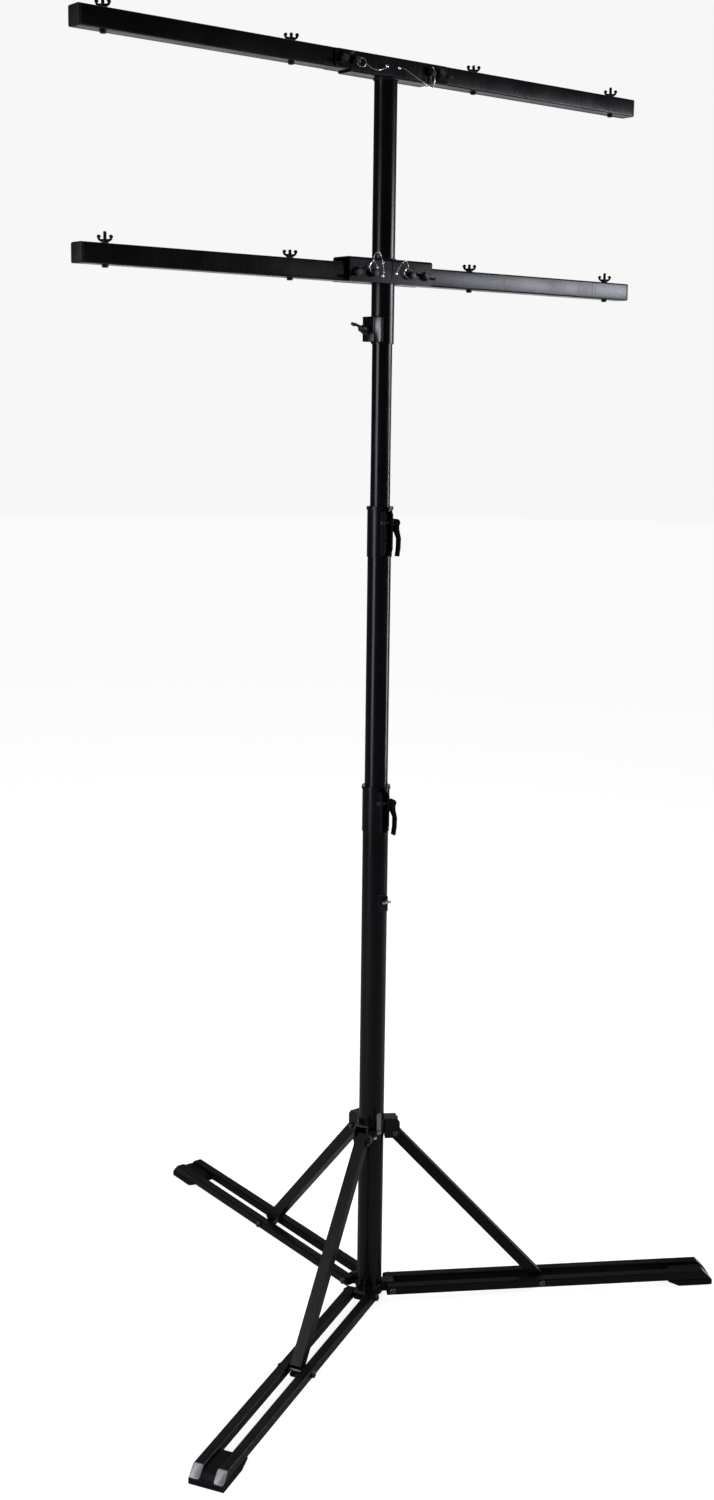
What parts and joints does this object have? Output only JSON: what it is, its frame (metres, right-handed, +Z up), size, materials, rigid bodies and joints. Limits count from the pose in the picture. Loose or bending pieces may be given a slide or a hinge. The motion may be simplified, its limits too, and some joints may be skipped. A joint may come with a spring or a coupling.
{
  "type": "lighting stand",
  "caption": "Telescoping steel lighting stand: folding double-rail tripod, lever-clamped round mast and a swivelling head with two square-tube T-bars.",
  "frame": {"origin": "centre of the stand's bounding box on the floor; the mast axis stands at x 0, y -0.15395 m", "axes": "+Z up the mast, X along the T-bars, -Y towards the side with the wing bolts and pins"},
  "size_m": [1.31, 1.1196, 2.4435],
  "materials": {
    "mast_coat": "satin black powder coat on round tube",
    "frame_coat": "satin black powder coat on plate and square tube",
    "leg_coat": "worn satin black powder coat",
    "shoe_rubber": "matt moulded",
    "zinc_steel": "bright zinc plate",
    "black_zinc": "black zinc plate"
  },
  "bodies": {
    "base": {"base_hub": "frame_coat", "lower_tube": "mast_coat", "collar_stop_rivet": "zinc_steel", "lower_clamp_body": "frame_coat", "lower_clamp_bolt": "zinc_steel", "leg_pivot_bolt_right": "zinc_steel", "leg_pivot_bolt_rear": "zinc_steel", "leg_pivot_bolt_left": "zinc_steel"},
    "collar": {"leg_collar": "frame_coat", "brace_collar_bolt_right": "zinc_steel", "brace_collar_bolt_rear": "zinc_steel", "brace_collar_bolt_left": "zinc_steel"},
    "collar_pin": {"collar_lock_pin": "zinc_steel"},
    "height_pin": {"height_lock_pin": "zinc_steel"},
    "middle": {"middle_tube": "mast_coat", "upper_clamp_body": "frame_coat", "upper_clamp_bolt": "zinc_steel"},
    "upper": {"upper_tube": "mast_coat"},
    "lower_lever": {"lower_clamp_lever": "frame_coat"},
    "upper_lever": {"upper_clamp_lever": "frame_coat"},
    "head_screw": {"head_wing_screw": "black_zinc"},
    "head": {"mast_head_tube": "mast_coat", "lower_bar_bracket": "frame_coat", "upper_bar_bracket": "frame_coat", "lower_arm_left": "frame_coat", "lower_arm_right": "frame_coat", "upper_arm_left": "frame_coat", "upper_arm_right": "frame_coat", "lower_fixture_bolt_left_inner": "black_zinc", "lower_fixture_bolt_left_outer": "black_zinc", "lower_fixture_bolt_right_inner": "black_zinc", "lower_fixture_bolt_right_outer": "black_zinc", "upper_fixture_bolt_left_inner": "black_zinc", "upper_fixture_bolt_left_outer": "black_zinc", "upper_fixture_bolt_right_inner": "black_zinc", "upper_fixture_bolt_right_outer": "black_zinc"},
    "leg_right": {"leg_rail_right_a": "leg_coat", "leg_rail_right_b": "leg_coat", "foot_right": "shoe_rubber", "brace_foot_bolt_right": "zinc_steel"},
    "brace_right": {"brace_right": "leg_coat"},
    "leg_rear": {"leg_rail_rear_a": "leg_coat", "leg_rail_rear_b": "leg_coat", "foot_rear": "shoe_rubber", "brace_foot_bolt_rear": "zinc_steel"},
    "brace_rear": {"brace_rear": "leg_coat"},
    "leg_left": {"leg_rail_left_a": "leg_coat", "leg_rail_left_b": "leg_coat", "foot_left": "shoe_rubber", "brace_foot_bolt_left": "zinc_steel"},
    "brace_left": {"brace_left": "leg_coat"},
    "lower_pin_left": {"lower_arm_pin_left": "zinc_steel"},
    "lower_wing_left": {"lower_arm_bolt_left": "black_zinc"},
    "lower_pin_right": {"lower_arm_pin_right": "zinc_steel"},
    "lower_wing_right": {"lower_arm_bolt_right": "black_zinc"},
    "upper_pin_left": {"upper_arm_pin_left": "zinc_steel"},
    "upper_wing_left": {"upper_arm_bolt_left": "black_zinc"},
    "upper_pin_right": {"upper_arm_pin_right": "zinc_steel"},
    "upper_wing_right": {"upper_arm_bolt_right": "black_zinc"}
  },
  "joints": [
    {"name": "middle_slide", "type": "slide", "parent": "base", "child": "middle", "axis": [0, 0, 1], "range_m": [-0.42, 0.33]},
    {"name": "upper_slide", "type": "slide", "parent": "middle", "child": "upper", "axis": [0, 0, 1], "range_m": [-0.28, 0.38]},
    {"name": "head_swivel", "type": "hinge", "parent": "upper", "child": "head", "pos_m": [0, -0.15395, 1.94], "axis": [0, 0, 1], "continuous": true},
    {"name": "lower_lever_hinge", "type": "hinge", "parent": "base", "child": "lower_lever", "pos_m": [0.00704, -0.19414, 1.0335], "axis": [-0.2588, -0.9659, 0], "range_deg": [0, 110]},
    {"name": "upper_lever_hinge", "type": "hinge", "parent": "middle", "child": "upper_lever", "pos_m": [0.00768, -0.19173, 1.5753], "axis": [-0.2588, -0.9659, 0], "range_deg": [0, 110]},
    {"name": "head_screw_turn", "type": "hinge", "parent": "head", "child": "head_screw", "pos_m": [-0.04924, -0.16263, 1.934], "axis": [-0.9848, -0.1736, 0], "continuous": true},
    {"name": "collar_slide", "type": "slide", "parent": "base", "child": "collar", "axis": [0, 0, 1], "range_m": [0, 0.42971]},
    {"name": "leg_right_hinge", "type": "hinge", "parent": "base", "child": "leg_right", "pos_m": [0.03731, -0.17727, 0.022], "axis": [-0.5299, -0.848, 0], "range_deg": [0, 88]},
    {"name": "brace_right_hinge", "type": "hinge", "parent": "collar", "child": "brace_right", "pos_m": [0.03901, -0.17833, 0.351], "axis": [0.5299, 0.848, 0], "range_deg": [0, 41.91]},
    {"name": "leg_rear_hinge", "type": "hinge", "parent": "base", "child": "leg_rear", "pos_m": [0.00154, -0.10998, 0.022], "axis": [0.9994, -0.0349, 0], "range_deg": [0, 88]},
    {"name": "brace_rear_hinge", "type": "hinge", "parent": "collar", "child": "brace_rear", "pos_m": [0.00161, -0.10798, 0.351], "axis": [-0.9994, 0.0349, 0], "range_deg": [0, 41.91]},
    {"name": "leg_left_hinge", "type": "hinge", "parent": "base", "child": "leg_left", "pos_m": [-0.03885, -0.17461, 0.022], "axis": [-0.4695, 0.8829, 0], "range_deg": [0, 88]},
    {"name": "brace_left_hinge", "type": "hinge", "parent": "collar", "child": "brace_left", "pos_m": [-0.04062, -0.17555, 0.351], "axis": [0.4695, -0.8829, 0], "range_deg": [0, 41.91]},
    {"name": "collar_pin_pull", "type": "slide", "parent": "collar", "child": "collar_pin", "axis": [-0.3584, -0.9336, 0], "range_m": [0, 0.008], "stiffness_N_per_m": 600, "springref_m": -0.003},
    {"name": "height_pin_pull", "type": "slide", "parent": "base", "child": "height_pin", "axis": [-0.0349, -0.9994, 0], "range_m": [0, 0.008], "stiffness_N_per_m": 600, "springref_m": -0.003},
    {"name": "lower_pin_left_pull", "type": "slide", "parent": "head", "child": "lower_pin_left", "axis": [0, -1, 0], "range_m": [0, 0.06]},
    {"name": "lower_wing_left_turn", "type": "hinge", "parent": "head", "child": "lower_wing_left", "pos_m": [-0.082, -0.18395, 2.035], "axis": [0, -1, 0], "continuous": true},
    {"name": "lower_pin_right_pull", "type": "slide", "parent": "head", "child": "lower_pin_right", "axis": [0, -1, 0], "range_m": [0, 0.06]},
    {"name": "lower_wing_right_turn", "type": "hinge", "parent": "head", "child": "lower_wing_right", "pos_m": [0.082, -0.18395, 2.035], "axis": [0, -1, 0], "continuous": true},
    {"name": "upper_pin_left_pull", "type": "slide", "parent": "head", "child": "upper_pin_left", "axis": [0, -1, 0], "range_m": [0, 0.06]},
    {"name": "upper_wing_left_turn", "type": "hinge", "parent": "head", "child": "upper_wing_left", "pos_m": [-0.116, -0.18395, 2.4065], "axis": [0, -1, 0], "continuous": true},
    {"name": "upper_pin_right_pull", "type": "slide", "parent": "head", "child": "upper_pin_right", "axis": [0, -1, 0], "range_m": [0, 0.06]},
    {"name": "upper_wing_right_turn", "type": "hinge", "parent": "head", "child": "upper_wing_right", "pos_m": [0.116, -0.18395, 2.4065], "axis": [0, -1, 0], "continuous": true}
  ],
  "couplings": [
    {"joint": "leg_right_hinge", "follows": "collar_slide", "rad_per_m": 3.5742},
    {"joint": "brace_right_hinge", "follows": "collar_slide", "rad_per_m": 1.7018},
    {"joint": "leg_rear_hinge", "follows": "collar_slide", "rad_per_m": 3.5742},
    {"joint": "brace_rear_hinge", "follows": "collar_slide", "rad_per_m": 1.7018},
    {"joint": "leg_left_hinge", "follows": "collar_slide", "rad_per_m": 3.5742},
    {"joint": "brace_left_hinge", "follows": "collar_slide", "rad_per_m": 1.7018}
  ]
}
